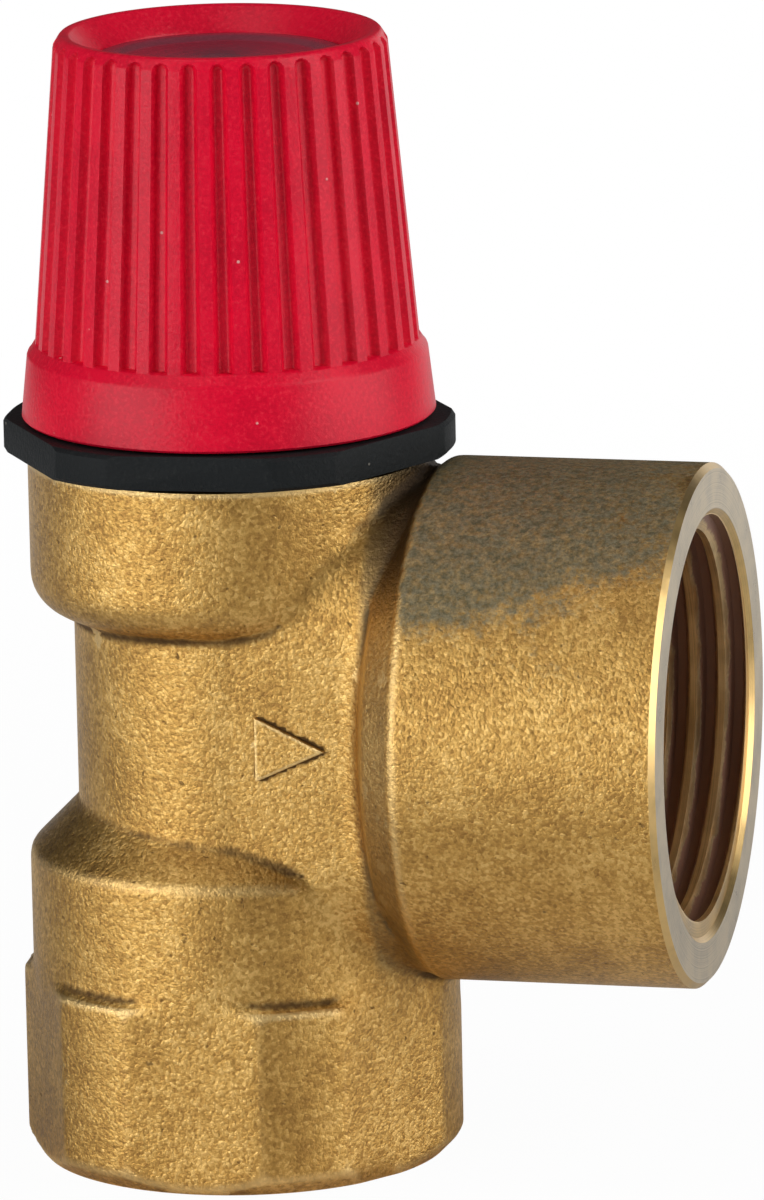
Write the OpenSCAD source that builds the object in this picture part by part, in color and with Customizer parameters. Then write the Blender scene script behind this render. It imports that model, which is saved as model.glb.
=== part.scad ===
// Diaphragm pressure relief valve with a threaded inlet below, a threaded outlet at the side
// and a ribbed twist knob on top. The origin is the centre of the inlet face, +Z is up along the
// stem and +X points out of the outlet. All sizes are in millimetres.

/* [Inlet end] */
// Width across the flats of the inlet hexagon
inlet_hex_af = 33; // [31.5:0.1:34]
// Diameter to which the hexagon's corners are turned
inlet_hex_corner_d = 34.8; // [34.4:0.1:36]
// Height of the inlet hexagon
inlet_hex_h = 15.1; // [12:0.1:18]
// How far the ledge on top of the hexagon falls towards its corners
inlet_ledge_fall = 0.3; // [0.1:0.1:1]
// Chamfer along the inlet face
inlet_edge_chamfer = 1.3; // [0.4:0.1:1.8]
// Diameter of the round boss over the hexagon
inlet_boss_d = 33.2; // [32.4:0.1:34.2]
// Height of the shoulder's top over the inlet face
shoulder_top_z = 28.8; // [27:0.1:31]
// Rounding between boss and shoulder
shoulder_edge_r = 3; // [1:0.1:6]
// Major diameter of the inlet pipe thread
inlet_thread_d = 26.441; // [25.5:0.001:27.4]
// Pitch of the inlet pipe thread
inlet_thread_pitch = 1.814; // [1.4:0.001:2.4]
// Depth of the inlet socket
inlet_thread_depth = 15.5; // [12:0.1:18]

/* [Nozzle and chamber] */
// Bore of the nozzle
nozzle_bore_d = 14; // [13:0.1:15]
// Wall of the nozzle
nozzle_wall = 1.6; // [1.2:0.1:2]
// Width of the seat lip on top of the nozzle
seat_lip_w = 0.8; // [0.4:0.1:1.2]
// Height of the seat over the inlet face
seat_z = 31.5; // [30:0.1:33]
// Diameter of the discharge chamber
chamber_d = 22; // [21:0.1:23]
// Height of the chamber floor over the inlet face
chamber_floor_z = 25.5; // [24:0.1:27]

/* [Neck and outlet] */
// Diameter of the neck
neck_d = 27.8; // [27:0.1:30]
// How far the neck stands off the stem axis, towards the outlet
neck_shift = 1.3; // [0:0.1:1.6]
// Height of the outlet axis over the inlet face
outlet_axis_z = 35.5; // [34.5:0.1:36.5]
// Width of the flat-sided core between neck and outlet boss
core_w = 27.6; // [26.8:0.1:28.4]
// Height of the core
core_h = 39; // [38:0.1:39.4]
// Rounding of the core's long edges
core_edge_r = 11; // [6:0.1:13]
// Length of the flare between core and outlet boss
core_flare_len = 5.5; // [4:0.1:6.4]
// Rounding of the outlet boss's inner edge
boss_edge_r = 0.8; // [0.6:0.1:1.6]
// Diameter of the outlet boss
outlet_boss_d = 41.4; // [39.5:0.1:43]
// Length of the outlet boss
outlet_boss_len = 20.5; // [18:0.1:22]
// Distance of the outlet face from the stem axis
outlet_face_x = 38.4; // [36.5:0.1:42]
// Chamfer along the outlet face
outlet_edge_chamfer = 0.65; // [0.3:0.05:1.2]
// Major diameter of the outlet pipe thread
outlet_thread_d = 33.249; // [32:0.001:34]
// Pitch of the outlet pipe thread
outlet_thread_pitch = 2.309; // [1.8:0.001:2.6]
// Depth of the outlet socket
outlet_thread_depth = 18; // [14:0.1:18.5]
// Diameter of the passage from chamber to outlet
passage_d = 20; // [17:0.1:20.4]
// Length of the raised flow arrow
arrow_len = 5.6; // [3:0.1:6]
// Height of the raised flow arrow
arrow_h = 5.2; // [3:0.1:7]
// Relief of the flow arrow
arrow_rise = 0.6; // [0.2:0.05:0.8]
// Distance of the arrow's foot from the stem axis
arrow_x = 5.1; // [3:0.1:6]
// Height of the arrow over the outlet axis
arrow_up = 0.2; // [0:0.1:2]

/* [Collar and diaphragm] */
// Diameter of the collar that takes the bonnet
collar_d = 32; // [31.4:0.1:34]
// Depth of the collar bore over the diaphragm ledge
collar_depth = 9.4; // [8:0.1:12]
// Height of the diaphragm ledge over the inlet face
diaphragm_z = 47; // [46.4:0.1:49]
// Height of the collar's outside wall
collar_h = 12.3; // [11:0.1:13]
// Rounding under the collar
collar_edge_r = 3; // [0.5:0.1:3.2]
// Bore of the collar
collar_bore_d = 28; // [27:0.1:29]
// Thickness of the diaphragm
diaphragm_t = 1.5; // [1:0.1:2]
// Depth of the diaphragm's rolled bead
diaphragm_bead = 1.2; // [0.6:0.1:1.6]
// Thickness of the slide ring over the diaphragm
slide_ring_t = 0.8; // [0.5:0.1:1.5]
// How far the slide ring's bore stands back from the bonnet's bore
slide_ring_step = 0.2; // [0:0.05:1]

/* [Bonnet] */
// Width across the flats of the bonnet flange
flange_af = 33.2; // [31:0.1:35]
// Diameter over the corners of the bonnet flange
flange_corner_d = 35.7; // [35.2:0.1:37]
// Height of the bonnet flange
flange_h = 2.7; // [2.2:0.1:5]
// Chamfer on both edges of the flange
flange_chamfer = 0.3; // [0.2:0.1:1]
// Turn of the flange when the bonnet is tight
flange_turn = 3.5; // [0:0.5:59]
// Gap between collar and flange when the diaphragm is clamped
flange_gap = 0.35; // [0.1:0.05:0.8]
// Wall of the bonnet's nose, in which the spring plate slides
nose_wall = 2.95; // [2.5:0.05:3.4]
// Bore of the spring hood
hood_bore_d = 18.4; // [18:0.1:18.8]
// Wall of the spring hood
hood_wall = 1.8; // [1.6:0.1:2]
// How far ramps and lugs stand in from the hood's inner and outer face
ramp_inset = 0.22; // [0.1:0.02:0.4]
// Height of the spring hood over the flange
hood_h = 14.55; // [13.5:0.05:15]
// Thickness of the shoulder between nose bore and hood bore
hood_shoulder = 1.6; // [1:0.1:2.4]

/* [Adjuster and spring] */
// Thickness of the adjusting screw
adjuster_t = 4; // [3:0.1:5]
// Width across the flats of the adjusting screw's key hole
adjuster_key_af = 10; // [8:0.1:12]
// Depth of the key hole
adjuster_key_depth = 2.4; // [1.5:0.1:2.8]
// Thickness of the adjuster's lock ring
lock_ring_t = 2; // [1.5:0.1:2.5]
// Bore of the adjuster's lock ring
lock_ring_bore_d = 12.4; // [11:0.1:14]
// Depth of the lock ring below the hood's top edge
lock_ring_depth = 0.5; // [0.2:0.1:1]
// Thickness of the spring's top plate
top_plate_t = 1.3; // [0.8:0.1:2]
// Thickness of the spring's bottom plate
bottom_plate_t = 2; // [1.5:0.1:2.5]
// Height of the plates' spigots inside the spring
spigot_h = 1.8; // [1:0.1:2.4]
// Mean diameter of the spring
spring_mean_d = 15.2; // [14.8:0.1:15.6]
// Diameter of the spring wire
spring_wire_d = 2; // [1.6:0.1:2.2]
// Number of turns of the spring
spring_turns = 4.25; // [3.5:0.25:4.5]

/* [Disc and stem] */
// Thickness of the rubber seat disc
seat_disc_t = 2.5; // [2:0.1:3]
// Diameter of the seat disc
seat_disc_d = 18.6; // [18.2:0.1:19]
// Wall of the disc holder's rim
holder_rim = 0.8; // [0.5:0.1:1]
// Thickness of the disc holder's plate
holder_plate_t = 3; // [2:0.1:3.4]
// Diameter of the disc holder's shank
holder_shank_d = 10; // [9:0.1:11]
// Diameter of the disc holder's top flange
holder_top_d = 15; // [13:0.1:16]
// Thickness of the disc holder's top flange
holder_top_t = 1.5; // [1:0.1:2]
// Thickness of the washer below the seat disc
retainer_t = 1; // [0.6:0.1:1.5]
// Diameter of the washer below the seat disc
retainer_d = 11; // [9:0.1:12]
// Diameter of the disc screw
disc_screw_d = 4; // [3:0.1:4.4]
// Depth of the disc screw in the holder
disc_screw_depth = 6; // [4:0.1:6.4]
// Diameter of the disc screw's head
disc_screw_head_d = 7; // [6:0.1:8]
// Height of the disc screw's head
disc_screw_head_h = 2.2; // [1.6:0.1:3]
// Width and depth of the disc screw's slot
disc_screw_slot = 1; // [0.6:0.1:1.2]
// Diameter of the stem
stem_d = 6; // [5.4:0.1:6.4]
// Depth of the stem in the disc holder
stem_depth = 6; // [4:0.1:6.2]
// Width across the flats of the nuts on the stem
nut_af = 10; // [9:0.1:10.4]
// Height of the nut over the diaphragm
diaphragm_nut_h = 4; // [3:0.1:5]
// Thickness of the washers on the stem
washer_t = 0.8; // [0.5:0.1:1.2]
// Height of the lock nut on top of the stem
lock_nut_h = 3; // [2.4:0.1:4]
// How far the stem stands out of the lock nut
stem_proud = 0.8; // [0.3:0.1:1.2]

/* [Knob] */
// Height of the knob
knob_h = 30.45; // [30:0.05:33]
// Gap between flange and knob
knob_gap = 0.2; // [0.15:0.05:0.8]
// Diameter of the knob's skirt at its lower edge
skirt_low_d = 32.68; // [32.4:0.02:34]
// Diameter of the knob's skirt at its upper edge
skirt_top_d = 31.6; // [31.2:0.1:32.3]
// Height of the knob's skirt
skirt_h = 5.15; // [3:0.05:6]
// Height of the bevel over the skirt
skirt_bevel = 0.8; // [0.4:0.1:1.2]
// Diameter of the ribbed grip at its lower end
grip_low_d = 30.3; // [29.8:0.1:31]
// Diameter of the ribbed grip at its upper end
grip_top_d = 26.3; // [25.8:0.1:27.4]
// Drop of the knob's top edge to the end of the grip
top_edge_drop = 1; // [0.6:0.1:1.5]
// Diameter of the knob's top edge
top_edge_d = 25.2; // [24.6:0.1:25.7]
// Width of the flat rim round the dish
top_rim_w = 0.8; // [0.4:0.1:1.2]
// Number of grooves round the grip
groove_count = 36; // [24:1:48]
// Depth of the grooves
groove_depth = 0.6; // [0.3:0.05:0.7]
// Radius of the cutter for the grooves
groove_r = 0.6; // [0.4:0.02:0.7]
// Turn of the first groove
groove_turn = 3.5; // [0:0.5:10]
// Length of the groove's end below the top of the grip
groove_end = 0.4; // [0.3:0.1:2]
// Wall of the knob under the grooves
knob_wall = 1.5; // [1.2:0.1:1.7]
// Height of the knob's cavity
knob_cavity_h = 18.35; // [18:0.05:19]
// Thickness of the knob's inner web
web_t = 2; // [1.6:0.1:2.6]
// Diameter of the room over the web
web_room_d = 17.2; // [15:0.1:18]
// Diameter of the knob's cover disc
cover_d = 20; // [18.6:0.1:20.4]
// Thickness of the cover disc
cover_t = 1.3; // [0.8:0.1:1.6]

/* [Lift] */
// Number of ramps on the hood
ramp_count = 3; // [2:1:3]
// Rise of the knob over its full turn
manual_lift = 2.4; // [1.6:0.1:2.4]
// Turn of the knob for that rise
manual_turn = 80; // [60:1:85]
// Width of a knob lug, as an angle
lug_angle = 20; // [12:1:24]
// Lift of the disc under pressure
pressure_lift = 2; // [1:0.1:2]

/* [Clearances] */
// Gap between parts that are screwed or pushed together
fit_gap = 0.05; // [0.02:0.01:0.08]
// Radial gap of a part that slides
slide_gap = 0.3; // [0.15:0.05:0.4]
// Gap between the knob's lugs and the ramps
ramp_gap = 0.25; // [0.15:0.05:0.4]

/* [Hidden] */
$fn = 96;
// Overlap of cutters past the faces that they cut
over = 1;
// Thread depth per pitch of a pipe thread, on the diameter
thread_depth_ratio = 1.280654;
// Share of the pitch that the thread's crest and root each keep flat
thread_flat = 0.2;
// Steps in which round outlines are drawn
arc_steps = 8;
// Turn between two steps of a helical face
helix_step = 5;
// Angle of the shoulder's slope to the vertical
shoulder_angle = 45;
// Angle at which the outlet boss's rounded inner edge begins
boss_edge_start = -40;
// How deep the flare's foot is sunk into the core's sides
flare_sink = 0.4;
// Part of a quarter turn, in degrees, that the flare's round brow takes up
flare_sweep = 65;
// Share of the seat disc's thickness that the holder's rim covers
holder_rim_cover = 0.75;

brass = "#b98c46";
steel = "#b4b6b8";
red = "#d70028";
black = "#1e2628";
rubber = "#2a2a2c";
cover_grey = "#4a3038";

inlet_minor_d = inlet_thread_d - thread_depth_ratio * inlet_thread_pitch;
outlet_minor_d = outlet_thread_d - thread_depth_ratio * outlet_thread_pitch;
nozzle_d = nozzle_bore_d + 2 * nozzle_wall;
outlet_boss_x = outlet_face_x - outlet_boss_len;
collar_top_z = diaphragm_z + collar_depth;
collar_low_z = collar_top_z - collar_h;

diaphragm_top_z = diaphragm_z + diaphragm_t;
nose_z = diaphragm_top_z + slide_ring_t;
nose_d = collar_bore_d - 2 * fit_gap;
nose_bore_d = nose_d - 2 * nose_wall;
slide_ring_bore_d = nose_bore_d + 2 * slide_ring_step;
flange_z = collar_top_z + flange_gap;
flange_top_z = flange_z + flange_h;
hood_d = hood_bore_d + 2 * hood_wall;
ramp_in_r = hood_bore_d / 2 + ramp_inset;
ramp_out_r = hood_d / 2 - ramp_inset;
hood_top_z = flange_top_z + hood_h;
lock_ring_z = hood_top_z - lock_ring_depth - lock_ring_t;
adjuster_z = lock_ring_z - adjuster_t;
top_plate_z = adjuster_z - top_plate_t;
spring_z = diaphragm_top_z + bottom_plate_t;
spring_h = top_plate_z - spring_z;
spring_bore_d = spring_mean_d - spring_wire_d;
spigot_d = spring_bore_d - 2 * slide_gap;

knob_z = flange_top_z + knob_gap;
knob_top_z = knob_z + knob_h;
grip_z = knob_z + skirt_h + skirt_bevel;
grip_top_z = knob_top_z - top_edge_drop;
web_z = knob_z + knob_cavity_h;
web_top_z = web_z + web_t;
lift_washer_top_z = web_top_z + washer_t;
stem_top_z = lift_washer_top_z + lock_nut_h + stem_proud;
cover_z = stem_top_z + pressure_lift + slide_gap;
cover_top_z = cover_z + cover_t;

seat_disc_top_z = seat_z + seat_disc_t;
holder_plate_top_z = seat_disc_top_z + holder_plate_t;
stem_low_z = diaphragm_z - stem_depth;
washer_z = spring_z + spigot_h;
diaphragm_nut_z = washer_z + washer_t;

// Radius of the ribbed grip at a height
function grip_r(z) =
    (grip_low_d + (grip_top_d - grip_low_d) * (z - grip_z) / (grip_top_z - grip_z)) / 2;

// Points of an arc about a centre
function arc(cx, cy, r, from, to) =
    [for (i = [0 : arc_steps]) let (a = from + (to - from) * i / arc_steps)
        [cx + r * cos(a), cy + r * sin(a)]];

// Tooth outline of a row of ring grooves, from the socket's mouth inwards
function thread_points(minor_d, major_d, pitch, depth) =
    [for (i = [0 : floor(depth / pitch) - 2], p = [0 : 3]) let (
        deep = p == 1 || p == 2,
        at = (i + 1) * pitch + pitch * [0.5 * thread_flat, 0.5 - 0.5 * thread_flat,
                                        0.5 + 0.5 * thread_flat, 1 - 0.5 * thread_flat][p])
        [(deep ? major_d : minor_d) / 2, at]];

// Threaded socket that opens at z = 0 and runs upwards, with a lead-in and a drilled cone
module socket(minor_d, major_d, pitch, depth, end_d) {
    lead = (major_d - minor_d) / 2;
    cone_h = (minor_d - end_d) / 2;
    rotate_extrude()
        polygon(concat([[0, -over], [major_d / 2 + over, -over], [minor_d / 2, lead]],
                       thread_points(minor_d, major_d, pitch, depth),
                       [[minor_d / 2, depth], [end_d / 2, depth + cone_h / 2],
                        [0, depth + cone_h / 2]]));
}

// Round bar or hole along Z between two heights
module post(d, low, high) {
    translate([0, 0, low])
        cylinder(d = d, h = high - low);
}

// Ring along Z between two heights
module ring(d, bore, low, high) {
    difference() {
        post(d, low, high);
        post(bore, low - over, high + over);
    }
}

// Hexagon bar along Z between two heights
module hex_post(af, low, high) {
    translate([0, 0, low])
        cylinder(d = af / cos(30), h = high - low, $fn = 6);
}

// Hexagon nut on the stem
module stem_nut(low, high) {
    difference() {
        hex_post(nut_af, low, high);
        post(stem_d + 2 * fit_gap, low - over, high + over);
    }
}

// Hexagon inlet end with turned corners
module inlet_hex() {
    corner_r = inlet_hex_corner_d / 2;
    intersection() {
        hex_post(inlet_hex_af, 0, inlet_hex_h);
        rotate_extrude()
            polygon([[0, 0], [corner_r - inlet_edge_chamfer, 0], [corner_r, inlet_edge_chamfer],
                     [corner_r, inlet_hex_h - inlet_ledge_fall], [inlet_boss_d / 2, inlet_hex_h],
                     [0, inlet_hex_h]]);
    }
}

// Round boss over the hexagon with its sloping shoulder
module inlet_boss() {
    r = inlet_boss_d / 2;
    neck_r = neck_d / 2 - neck_shift;
    slope_low_z = shoulder_top_z - (r - neck_r) / tan(shoulder_angle);
    tangent = shoulder_edge_r * tan(shoulder_angle / 2);
    rotate_extrude()
        polygon(concat([[0, inlet_edge_chamfer],
                        [inlet_hex_af / 2 - inlet_edge_chamfer, inlet_edge_chamfer],
                        [inlet_hex_af / 2 - inlet_edge_chamfer, inlet_hex_h - over],
                        [r, inlet_hex_h - over]],
                       arc(r - shoulder_edge_r, slope_low_z - tangent, shoulder_edge_r,
                           0, shoulder_angle),
                       [[neck_r, shoulder_top_z], [0, shoulder_top_z]]));
}

// Flat-sided core from the neck to the outlet boss, with rounded long edges
module core() {
    edge_y = core_w / 2 - core_edge_r;
    edge_z = core_h / 2 - core_edge_r;
    translate([neck_shift, 0, outlet_axis_z])
        rotate([90, 0, 90])
            linear_extrude(height = outlet_boss_x - neck_shift) {
                square([core_w, 2 * edge_z], center = true);
                square([2 * edge_y, core_h], center = true);
                for (side = [-1, 1], end = [-1, 1])
                    translate([side * edge_y, end * edge_z])
                        circle(r = core_edge_r);
            }
}

// Flare on the outlet axis, with a round brow from the core's sides out to the outlet boss
module flare() {
    boss_r = outlet_boss_d / 2;
    foot_r = core_w / 2 - flare_sink;
    brow_r = boss_r - foot_r;
    brow_x = outlet_boss_x + boss_edge_r;
    translate([0, 0, outlet_axis_z])
        rotate([0, 90, 0])
            rotate_extrude()
                polygon(concat([[0, brow_x - core_flare_len]],
                               [for (i = [0 : arc_steps])
                                    let (turn = flare_sweep * i / arc_steps)
                                    [foot_r + brow_r * sin(turn),
                                     brow_x - core_flare_len * cos(turn)]],
                               arc(boss_r - boss_edge_r, outlet_boss_x, boss_edge_r,
                                   boss_edge_start, 0),
                               [[0, outlet_boss_x]]));
}

// Raised triangle that shows the way of the flow
module flow_arrow() {
    translate([arrow_x, 0, outlet_axis_z + arrow_up])
        rotate([90, 0, 0])
            linear_extrude(height = core_w / 2 + arrow_rise)
                polygon([[0, -arrow_h / 2], [arrow_len, 0], [0, arrow_h / 2]]);
}

// Cast brass body, bored for nozzle, chamber, sockets and diaphragm
module valve_body() {
    collar_r = collar_d / 2;
    boss_r = outlet_boss_d / 2;
    color(brass)
        difference() {
            union() {
                inlet_hex();
                inlet_boss();
                translate([neck_shift, 0, 0])
                    post(neck_d, shoulder_top_z - over, collar_low_z + over);
                core();
                flare();
                flow_arrow();
                translate([outlet_boss_x, 0, outlet_axis_z])
                    rotate([0, 90, 0])
                        rotate_extrude()
                            polygon([[0, 0], [boss_r, 0],
                                     [boss_r, outlet_boss_len - outlet_edge_chamfer],
                                     [boss_r - outlet_edge_chamfer, outlet_boss_len],
                                     [0, outlet_boss_len]]);
                rotate_extrude()
                    polygon(concat([[0, collar_low_z]],
                                   arc(collar_r - collar_edge_r, collar_low_z + collar_edge_r,
                                       collar_edge_r, -90, 0),
                                   [[collar_r, collar_top_z], [0, collar_top_z]]));
            }
            socket(inlet_minor_d, inlet_thread_d, inlet_thread_pitch, inlet_thread_depth,
                   nozzle_bore_d);
            post(nozzle_bore_d, inlet_thread_depth, seat_z + over);
            difference() {
                post(chamber_d, chamber_floor_z, diaphragm_z + over);
                rotate_extrude()
                    polygon([[0, chamber_floor_z], [nozzle_d / 2, chamber_floor_z],
                             [nozzle_d / 2, seat_z - nozzle_wall + seat_lip_w],
                             [nozzle_bore_d / 2 + seat_lip_w, seat_z], [0, seat_z]]);
            }
            translate([nozzle_d / 2 + slide_gap, 0, outlet_axis_z])
                rotate([0, 90, 0])
                    cylinder(d = passage_d, h = outlet_face_x - nozzle_d / 2);
            translate([outlet_face_x, 0, outlet_axis_z])
                rotate([0, -90, 0])
                    socket(outlet_minor_d, outlet_thread_d, outlet_thread_pitch,
                           outlet_thread_depth, passage_d);
            post(collar_bore_d, diaphragm_z, collar_top_z + over);
        }
}

// Block between two radii and two angles, with level or helical upper and lower faces
module helix_block(r_in, r_out, from, to, low, low_slope, high, high_slope) {
    steps = ceil((to - from) / helix_step);
    points = [for (i = [0 : steps], k = [0 : 3]) let (
        a = from + (to - from) * i / steps,
        r = k == 0 || k == 3 ? r_in : r_out,
        z = k < 2 ? low + low_slope * (a - from) : high + high_slope * (a - from))
        [r * cos(a), r * sin(a), z]];
    sides = [for (i = [0 : steps - 1], k = [0 : 3], half = [0, 1]) let (
        a = 4 * i + k,
        b = 4 * i + (k + 1) % 4)
        half == 0 ? [a, b + 4, a + 4] : [a, b, b + 4]];
    last = 4 * steps;
    polyhedron(points, concat([[0, 2, 1], [0, 3, 2]], sides,
                              [[last, last + 1, last + 2], [last, last + 2, last + 3]]));
}

// Black plastic spring hood with nose, hexagon flange, hood and lifting ramps
module bonnet() {
    corner_r = flange_corner_d / 2;
    slope = manual_lift / manual_turn;
    sink = lock_ring_depth / 2;
    ramp_turn = manual_turn + lug_angle;
    color(black) {
        difference() {
            union() {
                post(nose_d, nose_z, flange_z + flange_chamfer);
                intersection() {
                    rotate([0, 0, flange_turn])
                        hex_post(flange_af, flange_z, flange_top_z);
                    rotate_extrude()
                        polygon([[0, flange_z], [corner_r - flange_chamfer, flange_z],
                                 [corner_r, flange_z + flange_chamfer],
                                 [corner_r, flange_top_z - flange_chamfer],
                                 [corner_r - flange_chamfer, flange_top_z],
                                 [0, flange_top_z]]);
                }
                post(hood_d, flange_z, hood_top_z);
            }
            post(nose_bore_d, nose_z - over, flange_top_z - hood_shoulder);
            post(hood_bore_d, nose_z, hood_top_z + over);
        }
        for (i = [0 : ramp_count - 1])
            rotate([0, 0, i * 360 / ramp_count])
                helix_block(ramp_in_r, ramp_out_r, 0, ramp_turn,
                            hood_top_z - sink, 0, hood_top_z, slope);
    }
}

// Thin ring that the bonnet's nose slides on while it is screwed in
module slide_ring() {
    color(brass)
        ring(collar_bore_d - 2 * slide_gap, slide_ring_bore_d, diaphragm_top_z, nose_z);
}

// Rubber diaphragm with a rolled bead between its clamped rim and centre
module diaphragm() {
    bead_in = holder_top_d / 2 + slide_gap;
    bead_out = chamber_d / 2 - slide_gap;
    bead_mid = (bead_in + bead_out) / 2;
    flank = (bead_out - bead_in) / 6;
    color(rubber)
        rotate_extrude()
            polygon([[stem_d / 2 + fit_gap, diaphragm_z], [bead_in, diaphragm_z],
                     [bead_mid - flank, diaphragm_z - diaphragm_bead],
                     [bead_mid + flank, diaphragm_z - diaphragm_bead],
                     [bead_out, diaphragm_z], [collar_bore_d / 2 - slide_gap, diaphragm_z],
                     [collar_bore_d / 2 - slide_gap, diaphragm_top_z],
                     [bead_out, diaphragm_top_z],
                     [bead_mid + flank, diaphragm_top_z - diaphragm_bead],
                     [bead_mid - flank, diaphragm_top_z - diaphragm_bead],
                     [bead_in, diaphragm_top_z], [stem_d / 2 + fit_gap, diaphragm_top_z]]);
}

// Screwed plug that presses on the spring, with a key hole round the stem
module adjusting_screw() {
    color(brass)
        difference() {
            ring(hood_bore_d - 2 * fit_gap, stem_d + 2 * slide_gap, adjuster_z, lock_ring_z);
            hex_post(adjuster_key_af, lock_ring_z - adjuster_key_depth, lock_ring_z + over);
        }
}

// Ring that locks the adjusting screw
module adjuster_lock_ring() {
    color(brass)
        ring(hood_bore_d - 2 * fit_gap, lock_ring_bore_d, lock_ring_z, lock_ring_z + lock_ring_t);
}

// Plate over the spring with a spigot that centres it
module spring_top_plate() {
    color(steel)
        difference() {
            union() {
                post(hood_bore_d - 2 * slide_gap, top_plate_z, adjuster_z);
                post(spigot_d, top_plate_z - spigot_h, adjuster_z);
            }
            post(stem_d + 2 * slide_gap, top_plate_z - spigot_h - over, adjuster_z + over);
        }
}

spring_sides = 6;
spring_rings_per_turn = 24;
spring_rings = ceil(spring_turns * spring_rings_per_turn);
// Share of the wire that is left over each ground end
spring_end = 0.2;
spring_rise = spring_h - 2 * spring_end * spring_wire_d;

// Point on the spring's centre line, from the lower end at 0 to the upper end at 1
function spring_line(t) = let (a = 360 * spring_turns * t)
    [cos(a) * spring_mean_d / 2, sin(a) * spring_mean_d / 2,
     spring_z + spring_end * spring_wire_d + spring_rise * t];

// Ring of points round the wire at a place on the centre line
function spring_ring(t) = let (
    a = 360 * spring_turns * t,
    slope = atan2(spring_rise, PI * spring_mean_d * spring_turns),
    out = [cos(a), sin(a), 0],
    up = [sin(a) * sin(slope), -cos(a) * sin(slope), cos(slope)])
    [for (k = [0 : spring_sides - 1]) let (b = 360 * (k + 0.5) / spring_sides)
        spring_line(t) + spring_wire_d / 2 * (cos(b) * out + sin(b) * up)];

// Least distance between the wire and itself, over points half a turn and more apart
spring_points = [for (i = [0 : spring_rings]) spring_line(i / spring_rings)];
spring_self_gap = min([
    for (i = [0 : spring_rings], j = [i + spring_rings_per_turn / 2 : 1 : spring_rings])
        norm(spring_points[i] - spring_points[j])]) - spring_wire_d;
echo(spring_self_gap = spring_self_gap);

// Coil spring with ground ends
module spring() {
    n = spring_sides;
    points = [for (i = [0 : spring_rings], p = spring_ring(i / spring_rings)) p];
    sides = [for (i = [0 : spring_rings - 1], k = [0 : n - 1], half = [0, 1]) let (
        a = n * i + k,
        b = n * i + (k + 1) % n)
        half == 0 ? [a, b + n, a + n] : [a, b, b + n]];
    last = n * spring_rings;
    caps = [for (k = [1 : n - 2], end = [0, 1])
        end == 0 ? [0, k + 1, k] : [last, last + k, last + k + 1]];
    color(steel)
        intersection() {
            polyhedron(points, concat(sides, caps));
            post(spring_mean_d + 2 * spring_wire_d, spring_z, top_plate_z);
        }
}

// Washer on the knob's web that carries the lock nut
module lift_washer() {
    color(steel)
        ring(web_room_d - 2 * slide_gap, stem_d + 2 * fit_gap, web_top_z, lift_washer_top_z);
}

// Red twist knob with skirt, ribbed grip, dished top, inner web and lifting lugs
module knob() {
    lean = atan2((grip_low_d - grip_top_d) / 2, grip_top_z - grip_z);
    groove_len = (grip_top_z - groove_end - grip_z) / cos(lean);
    cavity_low_r = skirt_low_d / 2 - knob_wall;
    cavity_top_r = grip_r(web_z) - groove_depth - knob_wall;
    dish_r = top_edge_d / 2 - top_rim_w;
    seat_r = cover_d / 2 + fit_gap;
    slope = manual_lift / manual_turn;
    color(red) {
        difference() {
            rotate_extrude()
                polygon([[0, knob_z], [skirt_low_d / 2, knob_z], [skirt_top_d / 2, knob_z + skirt_h],
                         [grip_low_d / 2, grip_z], [grip_top_d / 2, grip_top_z],
                         [top_edge_d / 2, knob_top_z], [0, knob_top_z]]);
            rotate_extrude()
                polygon([[0, knob_z - over], [cavity_low_r, knob_z - over], [cavity_low_r, knob_z],
                         [cavity_top_r, web_z], [0, web_z]]);
            post(stem_d + 2 * slide_gap, web_z - over, web_top_z + over);
            post(web_room_d, web_top_z, cover_z + over);
            rotate_extrude()
                polygon([[0, cover_z], [seat_r, cover_z], [seat_r, cover_top_z],
                         [dish_r, knob_top_z], [dish_r, knob_top_z + over],
                         [0, knob_top_z + over]]);
            for (i = [0 : groove_count - 1])
                rotate([0, 0, groove_turn + i * 360 / groove_count])
                    translate([grip_low_d / 2 - groove_depth + groove_r, 0, grip_z])
                        rotate([0, -lean, 0])
                            cylinder(r = groove_r, h = groove_len);
        }
        for (i = [0 : ramp_count - 1])
            rotate([0, 0, i * 360 / ramp_count])
                helix_block(ramp_in_r, ramp_out_r, 0, lug_angle,
                            hood_top_z + ramp_gap, slope, web_z + web_t / 2, 0);
    }
}

// Dark disc that closes the knob's top
module knob_cover() {
    color(cover_grey)
        post(cover_d, cover_z, cover_top_z);
}

// Steel stem from the disc holder up to the lock nut
module stem() {
    color(steel)
        post(stem_d, stem_low_z, stem_top_z);
}

// Nut on top of the stem
module lock_nut() {
    color(steel)
        stem_nut(lift_washer_top_z, lift_washer_top_z + lock_nut_h);
}

// Plate under the spring, guided in the bonnet's nose
module spring_bottom_plate() {
    color(steel)
        difference() {
            union() {
                post(nose_bore_d - 2 * slide_gap, diaphragm_top_z, spring_z);
                post(spigot_d, diaphragm_top_z, washer_z);
            }
            post(stem_d + 2 * fit_gap, diaphragm_top_z - over, washer_z + over);
        }
}

// Washer between plate and nut
module diaphragm_washer() {
    color(steel)
        ring(spigot_d, stem_d + 2 * fit_gap, washer_z, diaphragm_nut_z);
}

// Nut that clamps plate and diaphragm
module diaphragm_nut() {
    color(steel)
        stem_nut(diaphragm_nut_z, diaphragm_nut_z + diaphragm_nut_h);
}

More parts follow.
